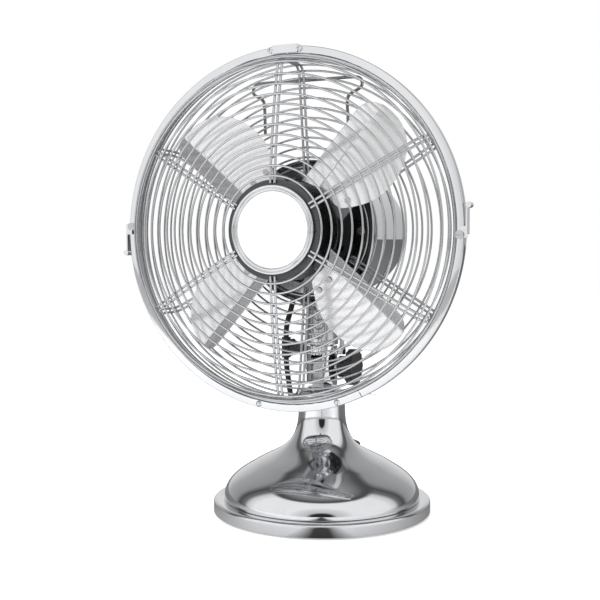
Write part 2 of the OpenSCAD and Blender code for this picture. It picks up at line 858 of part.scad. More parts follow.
module blade_rivets() {
    color("silver") on_shaft() for (k = [0:3]) rotate(blade_turn - 90 * k) mirror([0, 1, 0])
        at_rivets() {
            translate([0, 0, -2 * blade_t - 0.9]) cylinder(r = 1.5, h = 2 * blade_t + 1.5);
            translate([0, 0, seat]) cylinder(r = 2.8, h = 1.5);
        }
}

module blade_nut() {
    color("black") on_shaft() difference() {
        union() {
            barrel(8, hub_f + 8.2, hub_f + 16);
            barrel(13, hub_f + 8.2, hub_f + 11);
        }
        barrel(shaft_r + 0.01, hub_f, hub_f + 14);
    }
}

module motor_shaft() {
    color("silver") on_shaft() {
        barrel(shaft_r, shaft_back_f, hub_f + 13.8);
        barrel(worm_r, -66, -50);
    }
}

module rotor() {
    color("gray") on_shaft() barrel(23.4, -5, 15, shaft_r + 0.01);
}

foot_ring();
base_dome();
base_plate();
ballast_weight();
base_pad();
plate_screws();
tie_rod();
tilt_post();
neck_cap();
cable_bushes();
speed_switch();
motor_lead_lower();
speed_knob();
tilt_block();
tilt_nut();
swivel_pin();
link_stud();
lead_clamp();
tilt_knob();
tilt_stud();
drag_link();
neck_casting();
swivel_bush();
motor_front_plate();
motor_housing();
stator_core();
stator_windings();
motor_bolts();
shaft_bearings();
gearbox_case();
rear_guard_spokes();
rear_guard_rings();
rear_guard_hoops();
guard_screws();
front_guard_spokes();
front_guard_rings();
front_guard_hoops();
trim_band();
band_rivets();
badge_plate();
badge_rim();
badge_disc();
top_hook();
latch_screws();
carry_handle();
motor_lead_upper();
latch_right();
latch_left();
oscillation_knob();
worm_gear();
crank_shaft();
motor_shaft();
rotor();
blade_hub();
blade_1();
blade_2();
blade_3();
blade_4();
blade_rivets();
blade_nut();
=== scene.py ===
"""Looks of an oscillating desk fan: chromed pedestal, wire guard, polished blades and a white badge."""

import json
import logging
import math
from collections.abc import Iterable, Sequence
from dataclasses import dataclass, field
from enum import Enum

import bmesh
import bpy
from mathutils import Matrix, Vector


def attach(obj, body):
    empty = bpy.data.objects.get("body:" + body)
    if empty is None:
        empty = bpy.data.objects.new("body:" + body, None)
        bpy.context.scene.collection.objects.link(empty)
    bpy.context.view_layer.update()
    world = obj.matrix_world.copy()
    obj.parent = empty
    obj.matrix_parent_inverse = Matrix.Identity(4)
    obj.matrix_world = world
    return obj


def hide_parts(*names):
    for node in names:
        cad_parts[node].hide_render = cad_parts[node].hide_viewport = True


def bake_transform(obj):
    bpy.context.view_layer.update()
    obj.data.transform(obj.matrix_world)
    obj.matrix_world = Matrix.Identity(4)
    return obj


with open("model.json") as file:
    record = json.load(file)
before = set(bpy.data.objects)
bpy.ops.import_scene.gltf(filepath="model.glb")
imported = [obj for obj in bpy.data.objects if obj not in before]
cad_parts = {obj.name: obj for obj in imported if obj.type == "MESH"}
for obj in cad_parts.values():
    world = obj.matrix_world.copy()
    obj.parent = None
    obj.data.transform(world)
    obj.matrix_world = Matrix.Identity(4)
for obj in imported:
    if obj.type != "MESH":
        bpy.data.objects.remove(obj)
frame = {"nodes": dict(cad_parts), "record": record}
log = logging.getLogger("desk_fan")
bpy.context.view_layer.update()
MM = 0.001
HEAD_Z = 281.0
Point2 = tuple[float, float]
Point3 = tuple[float, float, float]
Socket = bpy.types.NodeSocket
Tree = bpy.types.NodeTree
Node = bpy.types.Node
Piece = bpy.types.Object
Material = bpy.types.Material
Line = tuple[Sequence[Vector], bool]
Sockets = bpy.types.bpy_prop_collection
DUST_TONE = (0.55, 0.53, 0.5, 1.0)
DUST_SCALE = 55.0
BUMP_DEPTH = 0.0004
COAT_ROUGHNESS = 0.08
WHITE = (1.0, 1.0, 1.0, 1.0)


class Grain(Enum):
    """How a surface was made, as the stretch of its fine pattern along X, Y and Z."""

    POLISHED = (1.0, 1.0, 1.0)
    BRUSHED = (0.06, 1.0, 1.0)
    DRAWN = (1.0, 1.0, 0.08)
    TURNED = (1.0, 0.05, 1.0)
    MOULDED = (1.0, 1.0, 0.999)  # not quite even, or it would be an alias of POLISHED


class Axis(Enum):
    """The line that a turned piece was spun round."""

    PEDESTAL = "pedestal"
    HEAD = "head"


# ---------- shading ----------


class Nodes:
    """Lays out nodes in a tree and joins them with few words."""

    def __init__(self, tree: Tree) -> None:
        """Keeps the tree and clears what is in it.

        Args:
            tree: The shader or geometry tree to fill.
        """
        self.tree = tree
        tree.nodes.clear()

    def add(self, kind: str, values: dict | None = None, **settings: object) -> Node:
        """Adds a node.

        Args:
            kind: The node's type name.
            values: Socket names or numbers, each with a value or a socket to join from.
            settings: Properties of the node itself.

        Returns:
            The new node.
        """
        node = self.tree.nodes.new(kind)
        for key, value in settings.items():
            setattr(node, key, value)
        for key, value in (values or {}).items():
            if isinstance(value, bpy.types.NodeSocket):
                self.tree.links.new(value, node.inputs[key])
            else:
                node.inputs[key].default_value = value
        return node

    def maths(self, operation: str, a: object, b: object = 0.0, c: object = 0.0) -> Socket:
        """Adds a Math node on up to three values or sockets.

        Args:
            operation: The Math node's operation.
            a: The first value or socket.
            b: The second value or socket.
            c: The third value or socket.

        Returns:
            The node's output.
        """
        return self.add("ShaderNodeMath", {0: a, 1: b, 2: c}, operation=operation).outputs[0]

    def spread(self, source: Socket, low: object, high: object,
               start: object = 0.0, end: object = 1.0) -> Socket:
        """Maps a value from start..end to low..high and holds it there.

        Args:
            source: The socket to map.
            low: The result at start.
            high: The result at end.
            start: The lower end of the source's span.
            end: The upper end of the source's span.

        Returns:
            The mapped value.
        """
        node = self.add("ShaderNodeMapRange", {0: source, 1: start, 2: end, 3: low, 4: high})
        return node.outputs[0]

    def mix(self, factor: object, a: object, b: object) -> Socket:
        """Mixes colour a with colour b by a factor."""
        return self.add("ShaderNodeMix", {0: factor, 6: a, 7: b}, data_type="RGBA").outputs[2]

    def along(self, source: Socket, way: Point3) -> Socket:
        """How far a vector reaches along a fixed direction."""
        made = self.add("ShaderNodeVectorMath", {0: source, 1: way}, operation="DOT_PRODUCT")
        return made.outputs["Value"]

    def place(self) -> Socket:
        """The object coordinates."""
        return self.add("ShaderNodeTexCoord").outputs["Object"]


def nodes_of(owner: Material | bpy.types.World) -> Nodes:
    """Turns on a material's or world's nodes and gives the emptied tree."""
    owner.use_nodes = True
    return Nodes(owner.node_tree)


def shader_group(name: str, inputs: dict[str, float], outputs: Sequence[str]) -> tuple[Nodes, Sockets]:
    """Starts a shader group.

    Args:
        name: The group's name.
        inputs: Its inputs with their usual values.
        outputs: Its outputs.

    Returns:
        A node layer for the tree, and the sockets of its inputs.
    """
    tree = bpy.data.node_groups.new(name, "ShaderNodeTree")
    for label, value in inputs.items():
        socket = tree.interface.new_socket(label, in_out="INPUT", socket_type="NodeSocketFloat")
        socket.default_value = value
    for label in outputs:
        tree.interface.new_socket(label, in_out="OUTPUT", socket_type="NodeSocketFloat")
    nodes = Nodes(tree)
    return nodes, nodes.add("NodeGroupInput").outputs


def handling_group() -> Tree:
    """Smudges and faint wipes left by hands and cloths.

    Returns:
        A group with inputs Scale and Contrast and outputs Smudge and Wipe.
    """
    nodes, given = shader_group("handling_marks", {"Scale": 18.0, "Contrast": 0.5}, ("Smudge", "Wipe"))
    place = nodes.place()
    broad = nodes.add("ShaderNodeTexNoise", {"Vector": place, "Scale": given["Scale"], "Detail": 4.0,
                                             "Roughness": 0.62, "Distortion": 0.6})
    fine_scale = nodes.maths("MULTIPLY", given["Scale"], 9.0)
    wiped = nodes.add("ShaderNodeMapping", {"Vector": place, "Scale": (1.0, 0.25, 0.6),
                                            "Rotation": (0.4, 0.9, 0.2)})
    fine = nodes.add("ShaderNodeTexNoise", {"Vector": wiped.outputs[0], "Scale": fine_scale, "Detail": 6.0})
    edge = nodes.maths("MULTIPLY", given["Contrast"], 0.3)
    low = nodes.maths("SUBTRACT", 0.5, edge)
    high = nodes.maths("ADD", 0.62, edge)
    nodes.add("NodeGroupOutput", {"Smudge": nodes.spread(broad.outputs["Fac"], 0.0, 1.0, low, high),
                                  "Wipe": nodes.spread(fine.outputs["Fac"], 0.0, 1.0, 0.35, 0.7)})
    return nodes.tree


def grain_group() -> Tree:
    """Fine lines or pips that a surface keeps from how it was made.

    Returns:
        A group with inputs Scale, Along X, Along Y and Along Z and outputs Line and Pip.
    """
    nodes, given = shader_group(
        "making_grain", {"Scale": 900.0, "Along X": 1.0, "Along Y": 1.0, "Along Z": 1.0}, ("Line", "Pip"))
    place = nodes.place()
    stretch = nodes.add("ShaderNodeCombineXYZ", {0: given["Along X"], 1: given["Along Y"],
                                                 2: given["Along Z"]})
    drawn = nodes.add("ShaderNodeVectorMath", {0: place, 1: stretch.outputs[0]}, operation="MULTIPLY")
    lines = nodes.add("ShaderNodeTexNoise", {"Vector": drawn.outputs[0], "Scale": given["Scale"],
                                             "Detail": 3.0, "Roughness": 0.7})
    pips = nodes.add("ShaderNodeTexVoronoi", {"Vector": drawn.outputs[0], "Scale": given["Scale"]})
    nodes.add("NodeGroupOutput", {"Line": lines.outputs["Fac"], "Pip": pips.outputs["Distance"]})
    return nodes.tree


def dust_group() -> Tree:
    """Dust that settles on what faces upwards.

    Returns:
        A group with inputs Scale and Amount and the output Dust.
    """
    nodes, given = shader_group("settled_dust", {"Scale": 60.0, "Amount": 0.2}, ("Dust",))
    place = nodes.place()
    facing = nodes.add("ShaderNodeSeparateXYZ", {0: nodes.add("ShaderNodeNewGeometry").outputs["Normal"]})
    up = nodes.spread(facing.outputs[2], 0.0, 1.0, 0.2, 1.0)
    specks = nodes.add("ShaderNodeTexNoise", {"Vector": place, "Scale": given["Scale"], "Detail": 8.0})
    patch = nodes.spread(specks.outputs["Fac"], 0.0, 1.0, 0.42, 0.72)
    dust = nodes.maths("MULTIPLY", nodes.maths("MULTIPLY", up, patch), given["Amount"])
    nodes.add("NodeGroupOutput", {"Dust": dust})
    return nodes.tree


@dataclass(frozen=True)
class Finish:
    """One surface finish, as a maker would order it."""

    name: str
    colour: Point3
    metallic: float
    roughness: Point2
    grain: Grain = Grain.POLISHED
    grain_scale: float = 900.0
    grain_depth: float = 0.02
    pips: bool = False
    smudge_scale: float = 18.0
    shade: float = 0.9
    coat: float = 0.0
    dust: float = 0.08

    def material(self, groups: dict[str, Tree]) -> Material:
        """Builds the finish as a material.

        Args:
            groups: The shader groups that finishes share.

        Returns:
            The material.
        """
        made = bpy.data.materials.new(self.name)
        nodes = nodes_of(made)
        marks = nodes.add("ShaderNodeGroup", node_tree=groups["handling"])
        marks.inputs["Scale"].default_value = self.smudge_scale
        marks.inputs["Contrast"].default_value = 0.5
        grain = nodes.add("ShaderNodeGroup", node_tree=groups["grain"])
        stretch = (self.grain_scale, *self.grain.value)
        for label, value in zip(("Scale", "Along X", "Along Y", "Along Z"), stretch):
            grain.inputs[label].default_value = value
        dust = nodes.add("ShaderNodeGroup", node_tree=groups["dust"])
        dust.inputs["Scale"].default_value = DUST_SCALE
        dust.inputs["Amount"].default_value = self.dust
        line = grain.outputs["Pip" if self.pips else "Line"]
        worn = nodes.maths("ADD", nodes.maths("MULTIPLY", marks.outputs["Smudge"], 0.6),
                           nodes.maths("MULTIPLY", line, 0.4))
        darker = tuple(self.shade * c for c in self.colour)
        tone = nodes.mix(worn, (*self.colour, 1.0), (*darker, 1.0))
        dusted = nodes.mix(dust.outputs["Dust"], tone, DUST_TONE)
        rough = nodes.spread(worn, *self.roughness, 0.1, 0.9)
        roughness = nodes.maths("ADD", rough, nodes.maths("MULTIPLY", dust.outputs["Dust"], 0.5))
        height = nodes.maths("ADD", line, nodes.maths("MULTIPLY", marks.outputs["Wipe"], 0.15))
        bump = nodes.add("ShaderNodeBump", {"Height": height, "Strength": self.grain_depth,
                                            "Distance": BUMP_DEPTH})
        shader = nodes.add("ShaderNodeBsdfPrincipled", {
            "Base Color": dusted, "Roughness": roughness, "Normal": bump.outputs[0]})
        shader.inputs["Metallic"].default_value = self.metallic
        shader.inputs["Coat Weight"].default_value = self.coat
        shader.inputs["Coat Roughness"].default_value = COAT_ROUGHNESS
        nodes.add("ShaderNodeOutputMaterial", {"Surface": shader.outputs[0]})
        return made


FINISHES = {
    "chrome": Finish("bright_chrome", (0.83, 0.84, 0.86), 1.0, (0.03, 0.09), Grain.TURNED, 300, 0.01),
    "chrome_wire": Finish("chromed_wire", (0.66, 0.67, 0.69), 1.0, (0.08, 0.18), Grain.POLISHED, 700, 0.03),
    "black_steel": Finish("black_stoved_steel", (0.07, 0.075, 0.075), 0.5, (0.24, 0.38), Grain.MOULDED, 1500,
                          0.08, True, coat=0.2),
    "dark_steel": Finish("dark_satin_steel", (0.2, 0.21, 0.21), 1.0, (0.2, 0.34), Grain.TURNED, 800, 0.05),
    "dark_wire": Finish("nickel_wire", (0.3, 0.3, 0.31), 1.0, (0.18, 0.3), Grain.POLISHED, 700, 0.03),
    "cast_iron": Finish("bare_cast_iron", (0.1, 0.1, 0.1), 0.6, (0.6, 0.8), Grain.MOULDED, 500, 0.5, True),
    "rubber": Finish("pad_rubber", (0.02, 0.02, 0.02), 0.0, (0.6, 0.8), Grain.MOULDED, 900, 0.3, True),
    "cable": Finish("lead_sheath", (0.016, 0.016, 0.017), 0.0, (0.32, 0.5), Grain.DRAWN, 900, 0.12),
    "zinc": Finish("plated_zinc", (0.66, 0.66, 0.67), 1.0, (0.2, 0.34), Grain.TURNED, 900, 0.06),
    "satin_steel": Finish("satin_steel", (0.58, 0.58, 0.6), 1.0, (0.16, 0.3), Grain.BRUSHED, 900, 0.06),
    "black_plastic": Finish("moulded_black", (0.014, 0.014, 0.016), 0.0, (0.2, 0.34), Grain.MOULDED, 1400,
                            0.1, True, coat=0.35),
    "bronze": Finish("sintered_bronze", (0.5, 0.33, 0.17), 1.0, (0.35, 0.5), Grain.MOULDED, 900, 0.2, True),
    "laminations": Finish("stacked_steel", (0.33, 0.33, 0.35), 1.0, (0.3, 0.45), Grain.TURNED, 1600, 0.3),
    "copper": Finish("varnished_copper", (0.5, 0.2, 0.08), 0.9, (0.2, 0.35), Grain.TURNED, 1200, 0.5,
                     coat=0.4),
    "cast_zinc": Finish("cast_alloy", (0.46, 0.46, 0.48), 1.0, (0.4, 0.55), Grain.MOULDED, 700, 0.3, True),
    "white_enamel": Finish("white_enamel", (0.94, 0.94, 0.945), 0.0, (0.14, 0.24), Grain.MOULDED, 240, 0.03,
                           True, shade=0.975, coat=0.5, dust=0.02),
    "nylon": Finish("natural_nylon", (0.8, 0.77, 0.68), 0.0, (0.35, 0.5), Grain.MOULDED, 900, 0.1, True),
    # The blade's steep strip is the same metal as the blade; its darker colour is a painted dark reflection.
    "blade_strip_painted_dark": Finish("strip_painted_dark_reflection", (0.66, 0.66, 0.7), 1.0, (0.05, 0.1), Grain.BRUSHED, 500, 0.006),
    "polished_blade": Finish("polished_blade", (0.93, 0.93, 0.94), 0.85, (0.14, 0.2), Grain.BRUSHED,
                             500, 0.006),
}


class Paint:
    """Makes each finish once and hands it out by the record's slot name."""

    def __init__(self) -> None:
        """Builds the shared shader groups."""
        self.groups = {"handling": handling_group(), "grain": grain_group(), "dust": dust_group()}
        self.made: dict[str, Material] = {}

    def of(self, slot: str) -> Material:
        """Gives a slot's material.

        Args:
            slot: The record's material slot.

        Returns:
            The material of that slot.
        """
        if slot not in self.made:
            self.made[slot] = FINISHES[slot].material(self.groups)
        return self.made[slot]


PAINT = Paint()
SLOTS = {part["node"]: part["material_slot"] for part in frame["record"]["subparts"]}
BODY_OF = {node: body for body, names in frame["record"]["behaviour"]["bodies"].items() for node in names}


# ---------- mesh helpers ----------


def to_head(x: float, y: float, f: float) -> Vector:
    """Takes millimetres sideways, upwards and forwards on the head to metres in the shared frame."""
    return Vector((x, -f, HEAD_Z + y)) * MM


def polar(radius: float, degrees: float) -> Point2:
    """The point at a radius and an angle."""
    return radius * math.cos(math.radians(degrees)), radius * math.sin(math.radians(degrees))


def rotated(x: float, y: float, degrees: float) -> Point2:
    """Turns a point about the origin by an angle."""
    c, s = math.cos(math.radians(degrees)), math.sin(math.radians(degrees))
    return x * c - y * s, x * s + y * c


def oblong(inner: float, outer: float, back: float, front: float) -> list[Point2]:
    """The section of a flat ring, by its radii and its two faces."""
    return [(inner, back), (outer, back), (outer, front), (inner, front)]


def arc(cx: float, cy: float, radius: float, start: float, end: float, steps: int) -> list[Point2]:
    """Points along an arc.

    Args:
        cx: The centre's first coordinate.
        cy: The centre's second coordinate.
        radius: The arc's radius.
        start: The first point's angle, in degrees.
        end: The last point's angle, in degrees.
        steps: How many steps are between them.

    Returns:
        The points, both ends included.
    """
    points = []
    for i in range(steps + 1):
        dx, dy = polar(radius, start + (end - start) * i / steps)
        points.append((cx + dx, cy + dy))
    return points


def cubic(a: Point2, b: Point2, c: Point2, d: Point2, steps: int) -> list[Point2]:
    """Points along a cubic curve from a to d, pulled towards b and c.

    Args:
        a: The first point.
        b: The first pull.
        c: The second pull.
        d: The last point.
        steps: How many steps are between the ends.

    Returns:
        The points, both ends included.
    """
    out = []
    for i in range(steps + 1):
        t = i / steps
        w = ((1 - t) ** 3, 3 * t * (1 - t) ** 2, 3 * t * t * (1 - t), t ** 3)
        out.append(tuple(sum(k * p[n] for k, p in zip(w, (a, b, c, d))) for n in (0, 1)))
    return out


def smooth_path(points: Sequence[Point3], steps: int) -> list[Vector]:
    """A smooth path through a list of points.

    Args:
        points: The points to pass through.
        steps: How many steps go between neighbours.

    Returns:
        The path's points.
    """
    p = [Vector(q) for q in points]
    out = []
    for i in range(len(p) - 1):
        a, b, c, d = p[max(i - 1, 0)], p[i], p[i + 1], p[min(i + 2, len(p) - 1)]
        for k in range(steps):
            t = k / steps
            out.append(b + 0.5 * t * (c - a) + 0.5 * t * t * (2 * a - 5 * b + 4 * c - d)
                       + 0.5 * t ** 3 * (3 * b - a - 3 * c + d))
    return [*out, p[-1]]


def wall(outline: Sequence[Point2], thickness: float) -> list[Point2]:
    """Closes an outline into a wall of even thickness, on its left-hand side.

    Args:
        outline: The outer line, from its wide end to its narrow end.
        thickness: The wall's thickness.

    Returns:
        The closed section.
    """
    inner = []
    for i in range(len(outline)):
        a, b = Vector(outline[max(i - 1, 0)]), Vector(outline[min(i + 1, len(outline) - 1)])
        d = (b - a).normalized()
        inner.append((outline[i][0] - thickness * d.y, outline[i][1] + thickness * d.x))
    return [*outline, *reversed(inner)]


def mark_sharp(mesh: bmesh.types.BMesh, degrees: float = 32.0) -> None:
    """Shades a mesh smooth and keeps its real corners sharp.

    Args:
        mesh: The mesh being built.
        degrees: The turn between two faces from which their edge is sharp.
    """
    for face in mesh.faces:
        face.smooth = True
    for edge in mesh.edges:
        edge.smooth = len(edge.link_faces) == 2 and edge.calc_face_angle(0.0) < math.radians(degrees)


def new_object(name: str, mesh: bmesh.types.BMesh | bpy.types.Mesh) -> Piece:
    """Puts a mesh in the scene as a named object.

    Args:
        name: The piece's name.
        mesh: The mesh to show.

    Returns:
        The new object.
    """
    data = mesh
    if isinstance(mesh, bmesh.types.BMesh):
        data = bpy.data.meshes.new(name)
        mesh.to_mesh(data)
        mesh.free()
    made = bpy.data.objects.new(name, data)
    bpy.context.scene.collection.objects.link(made)
    return made


def turned(name: str, section: Sequence[Point2], axis: Axis, segments: int = 160,
           sweep: float = 360.0, start: float = 0.0) -> Piece:
    """Spins a closed section round an axis.

    Args:
        name: The piece's name.
        section: Radius and height, or radius and forward place, in millimetres.
        axis: What the section is spun round.
        segments: How many steps a whole turn has.
        sweep: How far it is spun, in degrees.
        start: Where it starts, in degrees.

    Returns:
        The turned piece.
    """
    full = sweep >= 360.0
    steps = max(3, round(segments * sweep / 360.0))
    mesh = bmesh.new()
    rows = []
    for i in range(steps if full else steps + 1):
        angle = start + sweep * i / steps
        row = []
        for r, h in section:
            x, y = polar(r, angle)
            row.append(mesh.verts.new(to_head(x, y, h) if axis is Axis.HEAD else Vector((x, y, h)) * MM))
        rows.append(row)
    count = len(section)
    for i in range(len(rows) if full else len(rows) - 1):
        one, two = rows[i], rows[(i + 1) % len(rows)]
        for k in range(count):
            mesh.faces.new((one[k], one[(k + 1) % count], two[(k + 1) % count], two[k]))
    if not full:
        mesh.faces.new(rows[0])
        mesh.faces.new(reversed(rows[-1]))
    bmesh.ops.remove_doubles(mesh, verts=mesh.verts, dist=1e-6)
    bmesh.ops.dissolve_degenerate(mesh, dist=1e-7, edges=mesh.edges)
    bmesh.ops.recalc_face_normals(mesh, faces=mesh.faces)
    mark_sharp(mesh)
    return new_object(name, mesh)


# ---------- geometry nodes ----------


def geometry_group(name: str, inputs: dict[str, str]) -> tuple[Nodes, Sockets]:
    """Starts a geometry tree.

    Args:
        name: The tree's name.
        inputs: Its inputs after the geometry, each with its socket type.

    Returns:
        A node layer for the tree, and the sockets of its inputs.
    """
    tree = bpy.data.node_groups.new(name, "GeometryNodeTree")
    tree.interface.new_socket("Geometry", in_out="INPUT", socket_type="NodeSocketGeometry")
    for label, kind in inputs.items():
        tree.interface.new_socket(label, in_out="INPUT", socket_type=f"NodeSocket{kind}")
    tree.interface.new_socket("Geometry", in_out="OUTPUT", socket_type="NodeSocketGeometry")
    nodes = Nodes(tree)
    return nodes, nodes.add("NodeGroupInput").outputs


def wire_tree() -> Tree:
    """Sweeps a round wire along every line of a mesh.

    Returns:
        A tree with inputs Wire radius, Sides and Finish.
    """
    nodes, given = geometry_group(
        "wire_along_lines", {"Wire radius": "Float", "Sides": "Int", "Finish": "Material"})
    line = nodes.add("GeometryNodeMeshToCurve", {"Mesh": given["Geometry"]})
    round_wire = nodes.add("GeometryNodeCurvePrimitiveCircle", {
        "Resolution": given["Sides"], "Radius": given["Wire radius"]})
    swept = nodes.add("GeometryNodeCurveToMesh", {
        "Curve": line.outputs[0], "Profile Curve": round_wire.outputs[0], "Fill Caps": True})
    smooth = nodes.add("GeometryNodeSetShadeSmooth", {"Geometry": swept.outputs[0]})
    solid = nodes.add("GeometryNodeRealizeInstances", {"Geometry": smooth.outputs[0]})
    painted = nodes.add("GeometryNodeSetMaterial", {"Geometry": solid.outputs[0],
                                                    "Material": given["Finish"]})
    nodes.add("NodeGroupOutput", {0: painted.outputs[0]})
    return nodes.tree


def round_tree() -> Tree:
    """Repeats a piece round the local Z axis, then stands that axis where it belongs.

    Returns:
        A tree with inputs Count, First turn, Turn, Place and Finish.
    """
    nodes, given = geometry_group("copies_round_axis", {
        "Count": "Int", "First turn": "Float", "Turn": "Rotation", "Place": "Vector", "Finish": "Material"})
    points = nodes.add("GeometryNodeMeshLine", {"Count": given["Count"], "Offset": (0.0, 0.0, 0.0)})
    index = nodes.add("GeometryNodeInputIndex").outputs[0]
    step = nodes.maths("DIVIDE", math.tau, given["Count"])
    angle = nodes.maths("MULTIPLY_ADD", index, step, given["First turn"])
    turn = nodes.add("ShaderNodeCombineXYZ", {2: angle})
    copies = nodes.add("GeometryNodeInstanceOnPoints", {
        "Points": points.outputs[0], "Instance": given["Geometry"], "Rotation": turn.outputs[0]})
    solid = nodes.add("GeometryNodeRealizeInstances", {"Geometry": copies.outputs[0]})
    stood = nodes.add("GeometryNodeTransform", {"Geometry": solid.outputs[0],
                                                "Translation": given["Place"],
                                                "Rotation": given["Turn"]})
    painted = nodes.add("GeometryNodeSetMaterial", {"Geometry": stood.outputs[0],
                                                    "Material": given["Finish"]})
    nodes.add("NodeGroupOutput", {0: painted.outputs[0]})
    return nodes.tree


TREES = {"wire": wire_tree(), "round": round_tree()}


def add_tree(piece: Piece, tree: str, values: dict[str, object]) -> None:
    """Puts a geometry tree on a piece and sets its inputs.

    Args:
        piece: The object that carries the lines or the one item to repeat.
        tree: The tree's short name.
        values: The tree's inputs by name.
    """
    modifier = piece.modifiers.new(tree, "NODES")
    modifier.node_group = TREES[tree]
    known = {s.name: s.identifier for s in TREES[tree].interface.items_tree if s.in_out == "INPUT"}
    for label, value in values.items():
        modifier[known[label]] = value


def bake(piece: Piece) -> Piece:
    """Turns a piece with modifiers into a plain mesh.

    Args:
        piece: The object with its modifiers.

    Returns:
        The same object, with a plain mesh and no modifiers.
    """
    bpy.context.view_layer.update()
    shown = piece.evaluated_get(bpy.context.evaluated_depsgraph_get())
    plain = bpy.data.meshes.new_from_object(shown)
    piece.modifiers.clear()
    piece.data = plain
    return piece


def outward(piece: Piece) -> Piece:
    """Makes a plain mesh's closed shells face outwards.

    Args:
        piece: The object with a plain mesh.

    Returns:
        The same object.
    """
    mesh = bmesh.new()
    mesh.from_mesh(piece.data)
    bmesh.ops.recalc_face_normals(mesh, faces=mesh.faces)
    mesh.to_mesh(piece.data)
    mesh.free()
    return piece


def lines_object(name: str, lines: Iterable[Line]) -> Piece:
    """Makes an object of bare lines.

    Args:
        name: The piece's name.
        lines: Each line's points, in metres, and whether it closes on itself.

    Returns:
        An object with edges and no faces.
    """
    mesh = bmesh.new()
    for points, closed in lines:
        row = [mesh.verts.new(p) for p in points]
        pairs = list(zip(row, row[1:])) + ([(row[-1], row[0])] if closed else [])
        for a, b in pairs:
            mesh.edges.new((a, b))
    return new_object(name, mesh)


def wires(name: str, lines: Iterable[Line], diameter: float, slot: str,
          sides: int = 10) -> Piece:
    """Makes round wires along lines.

    Args:
        name: The piece's name.
        lines: Each line's points, in metres, and whether it closes on itself.
        diameter: The wire's diameter, in millimetres.
        slot: The material slot.
        sides: How many sides the wire's section has.

    Returns:
        A plain mesh of the wires.
    """
    piece = lines_object(name, lines)
    add_tree(piece, "wire", {"Wire radius": diameter * MM / 2, "Sides": sides, "Finish": PAINT.of(slot)})
    return outward(bake(piece))


# ---------- dressing ----------


def dress(piece: Piece, *nodes: str, ride: bool = True) -> Piece:
    """Paints a piece, lets it ride on its body and hides the CAD nodes that it stands for.

    Args:
        piece: The finished piece.
        nodes: The CAD nodes that it stands for; the first gives the body and the slot.
        ride: False for a piece that bends between two bodies.

    Returns:
        The same piece.
    """
    slot = SLOTS[nodes[0]]
    piece.data.materials.clear()
    piece.data.materials.append(PAINT.of(slot))
    if ride:
        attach(piece, BODY_OF[nodes[0]])
    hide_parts(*nodes)
    log.info("%s: %d faces, for %s", piece.name, len(piece.data.polygons), ", ".join(nodes))
    return piece


def softened(node: str, edge: float = 0.25) -> Piece:
    """Copies a CAD node with rounded corners and smooth shading.

    Args:
        node: The CAD node.
        edge: The width of the corner rounding, in millimetres.

    Returns:
        The dressed copy.
    """
    mesh = bmesh.new()
    mesh.from_mesh(frame["nodes"][node].data)
    bmesh.ops.remove_doubles(mesh, verts=mesh.verts, dist=2e-6)
    bmesh.ops.dissolve_limit(mesh, angle_limit=math.radians(0.8), verts=mesh.verts, edges=mesh.edges)
    mark_sharp(mesh, 28.0)
    piece = new_object(f"{node}_look", mesh)
    round_edges(piece, edge, 40.0)
    return dress(bake(piece), node)


def round_edges(piece: Piece, width: float, degrees: float) -> None:
    """Bevels the corners that turn by more than an angle, by a width in millimetres."""
    bevel = piece.modifiers.new("edge", "BEVEL")
    bevel.width, bevel.segments = width * MM, 2
    bevel.limit_method, bevel.angle_limit = "ANGLE", math.radians(degrees)
    bevel.harden_normals, bevel.use_clamp_overlap = True, True


def spun(node: str, section: Sequence[Point2], axis: Axis, segments: int = 160) -> Piece:
    """Turns a section and dresses it as the look of a CAD node."""
    return dress(turned(f"{node}_look", section, axis, segments), node)


def laid(node: str, lines: Iterable[Line], diameter: float, slot: str,
         sides: int = 10) -> Piece:
    """Makes wires and dresses them as the look of a CAD node."""
    return dress(wires(f"{node}_look", lines, diameter, slot, sides), node)


def paint_nodes(nodes: Iterable[str]) -> None:
    """Gives CAD nodes their slot's material where they are shown as they stand.

    Args:
        nodes: The CAD nodes.
    """
    for node in nodes:
        data = frame["nodes"][node].data
        data.materials.clear()
        data.materials.append(PAINT.of(SLOTS[node]))
        log.info("%s keeps its own shape, in %s", node, SLOTS[node])


# ---------- pedestal ----------


